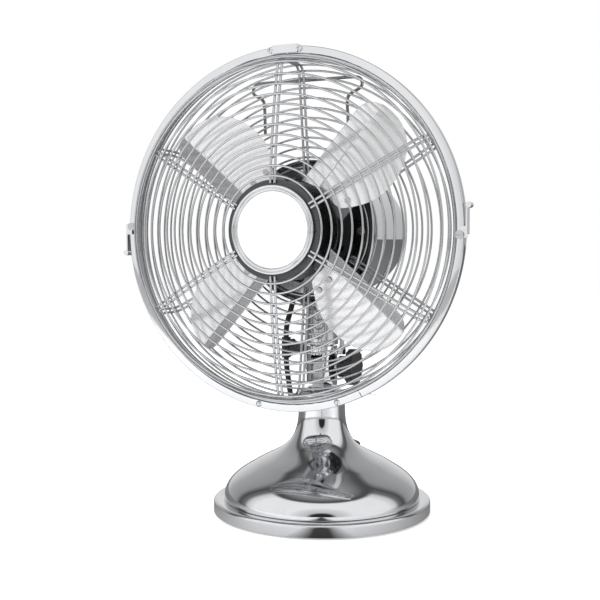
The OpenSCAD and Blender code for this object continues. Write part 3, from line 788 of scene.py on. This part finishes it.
@dataclass
class Pedestal:
    """The foot, the spun dome and its neck."""

    foot_radius: float = 109.0
    foot_height: float = 14.5
    underside: float = 2.0
    edge_radius: float = 3.0
    dome_low: Point2 = (98.6, 14.55)
    dome_mid: Point2 = (66.2, 50.9)
    dome_high: Point2 = (23.6, 100.0)
    neck_top: Point2 = (23.0, 119.0)
    sheet: float = 1.2
    softened_nodes: tuple[str, ...] = ("cable_bushes", "speed_knob", "tilt_post", "speed_switch")

    def foot(self) -> Piece:
        """The stepped ring that the pedestal stands on."""
        r, h, e = self.foot_radius, self.foot_height, self.edge_radius
        section = [(r - 3, 2.4), (r - 2.6, self.underside), (r - 0.4, self.underside), (r, 2.4)]
        section += arc(r - e, h - e, e, 0, 90, 10)
        section += [(101.5, h), (100.3, h - 0.15), (90.0, h - 0.15), (90.0, h - 2.5), (r - 3, h - 2.5)]
        return spun("foot_ring", section, Axis.PEDESTAL, 192)

    def dome(self) -> Piece:
        """The trumpet-shaped shell, with a rolled lower edge."""
        line = [(self.dome_low[0] - 0.5, self.dome_low[1]), (self.dome_low[0], self.dome_low[1] + 0.5)]
        line += cubic(self.dome_low, (98.6, 33.0), (84.0, 40.2), self.dome_mid, 28)[1:]
        line += cubic(self.dome_mid, (44.0, 63.5), (25.0, 65.0), self.dome_high, 34)[1:]
        line.append(self.neck_top)
        return spun("base_dome", wall(line, self.sheet), Axis.PEDESTAL, 192)

    def cap(self) -> Piece:
        """The collar that closes the neck."""
        r, z = self.neck_top
        section = [(13.9, z + 0.1), (r - 0.4, z + 0.1), (r, z + 0.5), (r - 0.3, z + 1.9), (r - 0.9, z + 2.6),
                   (18.5, z + 4.8), (15.2, z + 6.1), (14.2, z + 6.2), (13.9, z + 5.9)]
        return spun("neck_cap", section, Axis.PEDESTAL, 128)

    def build(self) -> None:
        """Makes every piece of the pedestal."""
        self.foot()
        self.dome()
        self.cap()
        for node in self.softened_nodes:
            softened(node)


# ---------- motor and neck ----------


@dataclass
class Motor:
    """The housing behind the blades, its front plate and the swivelling neck."""

    lip_radius: float = 68.0
    back_radius: float = 63.5
    front: float = 35.0
    shoulder: float = -66.0
    dome_length: float = 66.0
    sheet: float = 1.2
    softened_nodes: tuple[str, ...] = (
        "neck_casting", "tilt_block", "tilt_nut", "swivel_pin", "link_stud", "lead_clamp", "tilt_knob",
        "tilt_stud", "drag_link", "motor_front_plate", "oscillation_knob", "crank_shaft", "guard_screws")
    plain_nodes: tuple[str, ...] = (
        "motor_bolts", "stator_core", "stator_windings", "shaft_bearings", "gearbox_case", "swivel_bush",
        "worm_gear", "motor_shaft", "rotor", "base_plate", "ballast_weight", "base_pad", "plate_screws",
        "tie_rod")

    def housing(self) -> Piece:
        """The spun shell, with a rolled lip and a rounded back."""
        line = arc(self.lip_radius, self.front - 0.2, 1.2, 70, -90, 8)
        line += [(self.lip_radius - 0.1, self.front - 2.2)]
        for x, y in arc(0.0, 0.0, 1.0, 0.0, 89.9, 40):
            line.append((self.back_radius * x, self.shoulder - self.dome_length * y))
        section = wall([(r, -f) for r, f in line], self.sheet)
        return spun("motor_housing", [(r, -f) for r, f in section], Axis.HEAD)

    def build(self) -> None:
        """Makes the motor's pieces and those of the neck under it."""
        self.housing()
        for node in self.softened_nodes:
            softened(node)
        paint_nodes(self.plain_nodes)


# ---------- guards ----------


@dataclass
class Guard:
    """The two halves of the wire guard and the wire handle."""

    ring_wire: float = 2.0
    spoke_wire: float = 2.4
    rim_wire: float = 4.0
    pitch: float = 9.2
    spokes: int = 6
    pair: float = 2.1
    crown: float = 646.0
    apex: float = 119.5
    bend: float = 14.0
    bend_start: float = 146.0
    rim_radius: float = 159.0
    front_rim: float = 88.0
    back: float = 39.7
    back_radius: float = 56.0
    slope: float = 8.0
    turn_radius: float = 11.0
    back_end: float = 146.0
    rear_rim: float = 82.0
    steps: int = 200
    handle_wire: float = 2.96
    handle_half: tuple[Point3, ...] = (
        (43, 41.3, 95), (43, 41.9, 106), (43, 43.4, 122), (45.5, 43, 128), (54, 41.5, 133),
        (56.5, 40.5, 137), (54.5, 39.5, 142.5), (47, 39, 144.5), (20, 39, 144.5))

    @property
    def lift(self) -> float:
        """How far a ring wire's middle stands from a spoke's."""
        return (self.ring_wire + self.spoke_wire) / 2 + 0.05

    def crown_at(self, radius: float, off: float = 0.0) -> float:
        """The front half's forward place at a radius, moved off its surface."""
        return self.apex - self.crown + math.sqrt((self.crown + off) ** 2 - radius ** 2)

    def back_at(self, radius: float) -> float:
        """The rear half's forward place at a radius."""
        return self.back + (radius - self.back_radius) * math.tan(math.radians(self.slope))

    def ring(self, radius: float, f: float) -> Line:
        """A closed ring's points."""
        return [to_head(*polar(radius, 360.0 * i / self.steps), f) for i in range(self.steps)], True

    def front_bend(self) -> tuple[float, float, float]:
        """The centre of the front shoulder's bend and the angle where it begins."""
        angle = math.degrees(math.acos(self.bend_start / self.crown))
        dx, dy = polar(self.crown - self.bend, angle)
        return dx, self.apex - self.crown + dy, angle

    def spoke_set(self, name: str, line: Sequence[Point2]) -> Piece:
        """Repeats a pair of spoke wires round the head.

        Args:
            name: The piece's name.
            line: Radius and forward place along one spoke, in millimetres.

        Returns:
            A plain mesh of all the spokes.
        """
        pair = [([Vector((r, side * self.pair, f)) * MM for r, f in line], False) for side in (-1, 1)]
        piece = lines_object(name, pair)
        add_tree(piece, "wire", {"Wire radius": self.spoke_wire * MM / 2, "Sides": 12,
                                 "Finish": PAINT.of("chrome_wire")})
        add_tree(piece, "round", {"Count": self.spokes, "First turn": math.radians(30.0),
                                  "Turn": (math.radians(90.0), 0.0, 0.0), "Place": (0.0, 0.0, HEAD_Z * MM),
                                  "Finish": PAINT.of("chrome_wire")})
        return outward(bake(piece))

    def hoops(self, node: str, rings: list[Line], rim: float) -> None:
        """The rings on a half's bend, with its thick rim.

        Args:
            node: The CAD node that they stand for.
            rings: The thin rings.
            rim: The rim's forward place, in millimetres.
        """
        thin = wires(f"{node}_thin", rings, self.ring_wire, "chrome_wire")
        thick = wires(f"{node}_rim", [self.ring(self.rim_radius, rim)], self.rim_wire, "chrome_wire", 16)
        dress(joined(f"{node}_look", (thin, thick)), node)

    def front(self) -> None:
        """The shallow front half."""
        cx, cf, angle = self.front_bend()
        radii = [48.0 + self.pitch * i for i in range(11)]
        rings = [self.ring(r, self.crown_at(r, self.lift)) for r in radii]
        laid("front_guard_rings", rings, self.ring_wire, "chrome_wire")
        out = self.bend + self.lift
        hoops = [self.ring(cx + dx, cf + dy) for dx, dy in (polar(out, a) for a in (58, 36))]
        self.hoops("front_guard_hoops", hoops, self.front_rim)
        reach = [41.5 + (self.bend_start - 41.5) * i / 30 for i in range(31)]
        line = [(r, self.crown_at(r)) for r in reach] + arc(cx, cf, self.bend, angle - 5, 14, 10)
        dress(self.spoke_set("front_guard_spokes_look", line), "front_guard_spokes")

    def rear(self) -> None:
        """The deep rear half, with the ring that holds it to the motor."""
        s = math.radians(self.slope)
        cx = self.back_end - self.turn_radius * math.sin(s)
        cf = self.back_at(self.back_end) + self.turn_radius * math.cos(s)
        radii = [62.0 + self.pitch * i for i in range(10)]
        rings = [self.ring(r, self.back_at(r) - self.lift / math.cos(s)) for r in radii]
        out = self.turn_radius + self.lift
        hoops = [self.ring(cx + dx, cf + dy) for dx, dy in (polar(out, a) for a in (-60, -30))]
        hoops += [self.ring(cx + out, f) for f in (66.0, 74.0)]
        self.hoops("rear_guard_hoops", hoops, self.rear_rim)
        piece = wires("rear_rings_look", rings, self.ring_wire, "chrome_wire")
        plate = turned("rear_plate_look", oblong(50.0, 60.0, self.back - 3.1, self.back - 1.85), Axis.HEAD)
        dress(joined("rear_guard_rings_look", (piece, plate)), "rear_guard_rings")
        line = [(self.back_radius - 4, self.back_at(self.back_radius - 4)),
                (self.back_end - 0.4, self.back_at(self.back_end - 0.4))]
        line += arc(cx, cf, self.turn_radius, -90 + self.slope, 0, 10)
        line += [(cx + self.turn_radius, self.rear_rim)]
        dress(self.spoke_set("rear_guard_spokes_look", line), "rear_guard_spokes")

    def handle(self) -> None:
        """The carrying handle, bent from one wire."""
        right = [tuple(to_head(x, y, f)) for x, f, y in self.handle_half]
        path = smooth_path([*right, *[(-x, y, z) for x, y, z in reversed(right)]], 8)
        laid("carry_handle", [(path, False)], self.handle_wire, "dark_wire", 16)

    def build(self) -> None:
        """Makes both halves and the handle."""
        self.front()
        self.rear()
        self.handle()


def joined(name: str, pieces: Sequence[Piece]) -> Piece:
    """Joins plain meshes into one piece.

    Args:
        name: The new piece's name.
        pieces: The objects to join, which are removed.

    Returns:
        The joined object.
    """
    mesh = bmesh.new()
    for piece in pieces:
        mesh.from_mesh(piece.data)
        bpy.data.objects.remove(piece)
    return new_object(name, mesh)


# ---------- trim and badge ----------


@dataclass
class Trim:
    """The band round the guard, its latches and the badge in the middle."""

    band_radius: float = 167.5
    flange: float = 7.0
    face: float = 90.55
    seam: float = -63.0
    badge_radius: float = 40.2
    badge_face: float = 121.0
    tail_size: Point3 = (0.9, 7.8, 2.2)
    tail_lean: float = -24.0
    tail_back: float = 3.4

    def band(self) -> Piece:
        """The bright band that clips the two halves together."""
        r, f = self.band_radius, self.face
        section = [(r - self.flange, f - 1.0), (r - 1, f - 1.0), (r - 1, f - 8.4), (r - 0.8, f - 8.55),
                   (r - 0.2, f - 8.55), (r, f - 8.3)]
        section += arc(r - 0.9, f - 0.9, 0.9, 0, 90, 6)
        section += [(r - self.flange + 0.5, f), (r - self.flange, f - 0.4)]
        ring = turned("band_ring", section, Axis.HEAD, 240, 359.5, self.seam)
        strap = turned("band_strap", oblong(r - 5, r - 1.25, f - 2.3, f - 1.05), Axis.HEAD, 240, 9.0,
                       self.seam - 4.5)
        return dress(joined("trim_band_look", (ring, strap, self.tail())), "trim_band")

    def tail(self) -> Piece:
        """The band's free end, that stands off past the seam."""
        mesh = bmesh.new()
        bmesh.ops.create_cube(mesh, size=1.0)
        for v in mesh.verts:
            thick, along, wide = ((c + 0.5) * size for c, size in zip(v.co, self.tail_size))
            x, y = rotated(thick, along, self.tail_lean)
            x, y = rotated(x + self.band_radius - 0.6, y, self.seam + 1.5)
            v.co = to_head(x, y, self.face - self.tail_back + wide)
        return new_object("band_tail", mesh)

    def badge(self) -> None:
        """The white disc in its double bright bead."""
        r, f = self.badge_radius, self.badge_face
        section = [(34.65, f - 4.4), (r - 1.6, f - 4.4), (r - 1.6, f - 3.6), (r - 0.2, f - 3.4)]
        section += arc(r - 1.3, f - 1.4, 1.3, -20, 150, 12)
        section += [(r - 2.75, f - 1.5)]
        section += arc(r - 4.3, f - 1.6, 1.1, 50, 180, 10)
        section += [(34.65, f - 2.2)]
        spun("badge_rim", section, Axis.HEAD)
        face = [(0.0, f - 4.45), (34.5, f - 4.45), (34.5, f - 1.75), (34.2, f - 1.62), (33.6, f - 1.6),
                (20.0, f - 1.6), (0.0, f - 1.6)]
        spun("badge_disc", face, Axis.HEAD, 128)

    def build(self) -> None:
        """Makes the band, the badge and the small fixings."""
        self.band()
        self.badge()
        for node in ("badge_plate", "band_rivets", "top_hook", "latch_screws", "latch_right", "latch_left"):
            softened(node, 0.2)


# ---------- blades ----------


@dataclass
class Blades:
    """Four broad blades on a dark spider, each with a steep trailing strip."""

    tip: float = 144.0
    front: float = 91.0
    edge: float = -16.0
    crease_line: float = -3.0
    strip_slope: float = 38.0
    face_slope: float = 14.0
    thickness: float = 1.2
    crease: float = 1.6
    crease_cuts: tuple[float, ...] = (-1.6, -1.1, -0.55, 0.0, 0.55, 1.1, 1.6)
    first_turn: float = 49.3
    count: int = 4
    cut: float = 48.0
    outline: list[Point2] = field(default_factory=list)

    def __post_init__(self) -> None:
        """Draws the outline, with the straight trailing edge along X."""
        t, e = self.tip, self.edge
        self.outline = [(44.5, e), (t - 17, e), (t - 12, e + 1.1), (t - 8, e + 2.6), (t - 5, e + 5.1),
                        (t - 3, e + 8.1)]
        self.outline += cubic((t - 0.9, -3.0), (t + 0.9, 14.0), (t - 5.1, 35.0), (t - 33, 43.4), 20)
        self.outline += cubic((t - 43.5, 45.3), (t - 64, 47.4), (65.5, 42.4), (46.0, 23.0), 20)

    def forward(self, y: float) -> float:
        """Forward place of the face at a distance from the straight edge, with the crease eased."""
        steep, flat = math.tan(math.radians(self.strip_slope)), math.tan(math.radians(self.face_slope))
        d, ease = y - self.crease_line, self.crease
        fold = self.front - (self.crease_line - self.edge) * steep
        if abs(d) >= ease:
            return fold - d * (steep if d < 0 else flat)
        t = (d + ease) / (2 * ease)
        return fold + ease * steep - 2 * ease * (steep * t + (flat - steep) * t * t / 2)

    def sheet(self) -> bmesh.types.BMesh:
        """One blade's face, cut fine enough to bend.

        Returns:
            The flat outline, cut into strips and bent to the blade's section.
        """
        mesh = bmesh.new()
        mesh.faces.new([mesh.verts.new((x, y, 0.0)) for x, y in self.outline])
        cuts = [self.crease_line + d for d in self.crease_cuts] + [-13, -10, -7, *range(3, 46, 5)]
        planes = [((0, y, 0), (0, 1, 0)) for y in cuts] + [((x, 0, 0), (1, 0, 0)) for x in range(60, 144, 12)]
        for point, normal in planes:
            bmesh.ops.bisect_plane(mesh, geom=[*mesh.verts, *mesh.edges, *mesh.faces], dist=1e-5,
                                   plane_co=point, plane_no=normal)
        for v in mesh.verts:
            r = math.hypot(v.co.x, v.co.y)
            if r < self.cut:
                v.co.x = math.sqrt(max(self.cut ** 2 - v.co.y ** 2, 1.0))
        return mesh

    def blade(self, number: int) -> Piece:
        """One blade, bent, thickened and rounded at its edges, its steep strip painted darker as a painted
        reflection.

        Args:
            number: Which blade, from 1.

        Returns:
            The blade.
        """
        mesh = self.sheet()
        for face in mesh.faces:
            # Faces past the crease take the second material, the strip's painted dark reflection.
            face.material_index = int(face.calc_center_median().y < self.crease_line - 0.5)
        turn = self.first_turn - 360.0 / self.count * (number - 1)
        for v in mesh.verts:
            v.co = to_head(*rotated(v.co.x, -v.co.y, turn), self.forward(v.co.y))
        for face in mesh.faces:
            face.normal_update()
            if face.normal.y > 0:
                face.normal_flip()
        mark_sharp(mesh, 60.0)
        piece = new_object(f"blade_{number}_look", mesh)
        solid = piece.modifiers.new("sheet", "SOLIDIFY")
        solid.thickness, solid.offset = self.thickness * MM, -1.0
        round_edges(piece, 0.35, 50.0)
        dress(bake(piece), f"blade_{number}")
        # The strip's material: the same metal, painted darker for a painted reflection.
        piece.data.materials.append(PAINT.of("blade_strip_painted_dark"))
        return piece

    def build(self) -> None:
        """Makes the blades and what holds them."""
        for number in range(1, self.count + 1):
            self.blade(number)
        for node in ("blade_hub", "blade_rivets", "blade_nut"):
            softened(node)


# ---------- motor lead ----------


@dataclass
class MotorLead:
    """The black lead from the motor down to the pedestal, held by a clamp on the way."""

    diameter: float = 5.5
    upper: tuple[Point3, ...] = ((-34, 10, 227), (-34.6, 9, 216), (-37.5, 8, 203), (-41, 6.6, 189),
                                 (-42, 6, 180), (-42, 6, 175), (-42, 6, 163.0))
    lower: tuple[Point3, ...] = ((-42, 6, 163.0), (-42, 6, 152), (-42, 6, 149), (-40.3, 4.6, 139),
                                 (-37.7, 3, 127), (-35, 1, 116), (-31.6, 0, 109.4), (-28.8, 0, 107),
                                 (-27.6, 0, 107), (-25, 0, 107), (-20.5, 0, 107))

    def stretch(self, name: str, points: Sequence[Point3]) -> Piece:
        """One stretch of the lead as a smooth tube."""
        path = [p * MM for p in smooth_path(points, 12)]
        return wires(name, [(path, False)], self.diameter, "cable", 20)

    def build(self) -> None:
        """Makes both stretches, which ride on no body."""
        top = dress(self.stretch("motor_lead_upper_look", self.upper), "motor_lead_upper", ride=False)
        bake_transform(top)
        low = dress(self.stretch("motor_lead_lower_look", self.lower), "motor_lead_lower", ride=False)
        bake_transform(low)


# ---------- studio ----------


@dataclass
class Studio:
    """Floor, plain to the camera with painted shade in reflections, soft lights and the camera."""

    camera_at: Point3 = (0.3746, -0.9272, 0.262)
    look_at: Point3 = (-0.0205, -0.0083, 0.213)
    light_target: Point3 = (0.0, 0.0, 0.22)
    lens: float = 59.8
    forward_way: Point3 = (0.37, -0.929, 0.0)
    sideways: Point3 = (0.929, 0.37, 0.0)
    floor_tone: tuple[float, ...] = (0.95, 0.95, 0.95, 1.0)
    floor_glow: float = 0.5
    room_power: float = 1.35
    side_tones: tuple[Point2, ...] = (
        (0.0, 0.6), (0.12, 0.32), (0.27, 0.24), (0.34, 0.06), (0.42, 0.14), (0.47, 0.5), (0.56, 0.7),
        (0.9, 0.72), (0.978, 0.45), (0.988, 0.02))
    high_tones: tuple[Point2, ...] = ((0.8, 0.04), (0.88, 0.07), (0.93, 0.16), (1.0, 0.3))
    panels: tuple[tuple[str, Point3, Point2, float], ...] = (
        ("top_panel", (-0.2, -0.3, 1.6), (1.4, 1.2), 11.0),
        ("front_panel", (-0.7, -1.7, 0.8), (0.9, 1.2), 9.0),
        ("left_panel", (-1.4, -0.9, 0.6), (0.7, 1.4), 8.0),
        ("right_panel", (1.6, -0.3, 0.7), (0.6, 1.4), 7.0))

    def floor(self) -> None:
        """A floor that the camera sees plain and pale, with no visible end; reflections see painted shade
        under and behind the fan and a painted dark strip towards the camera.
        """
        mesh = bmesh.new()
        bmesh.ops.create_grid(mesh, x_segments=2, y_segments=2, size=6.0)
        plane = new_object("studio_floor", mesh)
        made = bpy.data.materials.new("pale_floor_painted_shade")
        nodes = nodes_of(made)
        place = nodes.place()
        noise = nodes.add("ShaderNodeTexNoise", {"Vector": place, "Scale": 3.0})
        tone = nodes.spread(noise.outputs["Fac"], 0.5, 0.56)
        seen = nodes.add("ShaderNodeLightPath").outputs["Is Camera Ray"]
        # Painted shade and a painted dark strip, seen only in reflections: darker under and behind the fan,
        # and a narrow dark strip along the line towards the camera. The camera sees the plain floor tone.
        lit = nodes.spread(nodes.along(place, self.forward_way), 0.22, 0.95, -0.05, 0.2)
        aside = nodes.maths("ABSOLUTE", nodes.along(place, self.sideways))
        painted_dark_strip = nodes.spread(aside, 0.03, 1.0, 0.012, 0.04)
        pale = nodes.mix(seen, nodes.maths("MULTIPLY", lit, painted_dark_strip), self.floor_tone)
        shader = nodes.add("ShaderNodeBsdfPrincipled", {
            "Roughness": tone, "Base Color": pale,
            "Emission Strength": nodes.maths("MULTIPLY", seen, self.floor_glow)})
        shader.inputs["Specular IOR Level"].default_value = 0.1
        shader.inputs["Emission Color"].default_value = WHITE
        nodes.add("ShaderNodeOutputMaterial", {"Surface": shader.outputs[0]})
        plane.data.materials.append(made)

    def sky(self) -> None:
        """A white studio with darker bands, which the chrome shows."""
        world = bpy.data.worlds.new("studio_sky")
        bpy.context.scene.world = world
        nodes = nodes_of(world)
        way = nodes.add("ShaderNodeTexCoord").outputs["Generated"]
        around = nodes.spread(nodes.along(way, self.forward_way), 0.0, 1.0, -1.0, 1.0)
        height = nodes.add("ShaderNodeSeparateXYZ", {0: way}).outputs["Z"]
        high = nodes.spread(height, 0.0, 1.0, 0.8, 0.85)
        room = nodes.mix(high, self.ramp(nodes, around, self.side_tones),
                         self.ramp(nodes, height, self.high_tones))
        seen = nodes.add("ShaderNodeLightPath").outputs["Is Camera Ray"]
        shade = nodes.add("ShaderNodeBackground", {"Color": nodes.mix(seen, room, WHITE),
                                                   "Strength": nodes.spread(seen, self.room_power, 1.0)})
        nodes.add("ShaderNodeOutputWorld", {"Surface": shade.outputs[0]})

    def ramp(self, nodes: Nodes, source: Socket, stops: Sequence[Point2]) -> Socket:
        """A grey ramp.

        Args:
            nodes: The tree that it goes into.
            source: What drives it.
            stops: Positions and tones, in rising order.

        Returns:
            The ramp's colour.
        """
        made = nodes.add("ShaderNodeValToRGB", {0: source})
        while len(made.color_ramp.elements) < len(stops):
            made.color_ramp.elements.new(0.5)
        for element, (at, tone) in zip(made.color_ramp.elements, stops):
            element.position, element.color = at, (tone, tone, tone, 1.0)
        return made.outputs[0]

    def aimed(self, name: str, data: bpy.types.ID, at: Point3, target: Point3) -> Piece:
        """Puts a light or camera in the scene and points it at a target."""
        made = bpy.data.objects.new(name, data)
        made.location = at
        made.rotation_euler = (Vector(target) - Vector(at)).to_track_quat("-Z", "Y").to_euler()
        bpy.context.scene.collection.objects.link(made)
        return made

    def light(self, name: str, at: Point3, size: Point2, power: float) -> None:
        """A soft panel aimed at the fan.

        Args:
            name: The light's name.
            at: Where it stands.
            size: Its width and height.
            power: Its power, in watts.
        """
        data = bpy.data.lights.new(name, "AREA")
        data.shape, data.size, data.size_y, data.energy = "RECTANGLE", *size, power
        self.aimed(name, data, at, self.light_target).visible_glossy = False

    def camera(self) -> None:
        """The camera, a little to the right of the fan's front."""
        data = bpy.data.cameras.new("camera")
        data.lens, data.sensor_width = self.lens, 36.0
        bpy.context.scene.camera = self.aimed("camera", data, self.camera_at, self.look_at)

    def build(self) -> None:
        """Sets up the whole studio."""
        bpy.context.scene.view_settings.view_transform = "Standard"
        self.floor()
        self.sky()
        for panel in self.panels:
            self.light(*panel)
        self.camera()


def main() -> None:
    """Builds the fan piece by piece, then the studio."""
    logging.basicConfig(level=logging.INFO, format="%(name)s: %(message)s")
    for part in (Pedestal(), Motor(), Guard(), Trim(), Blades(), MotorLead(), Studio()):
        log.info("building %s", type(part).__name__)
        part.build()


if __name__ == "__main__":
    main()
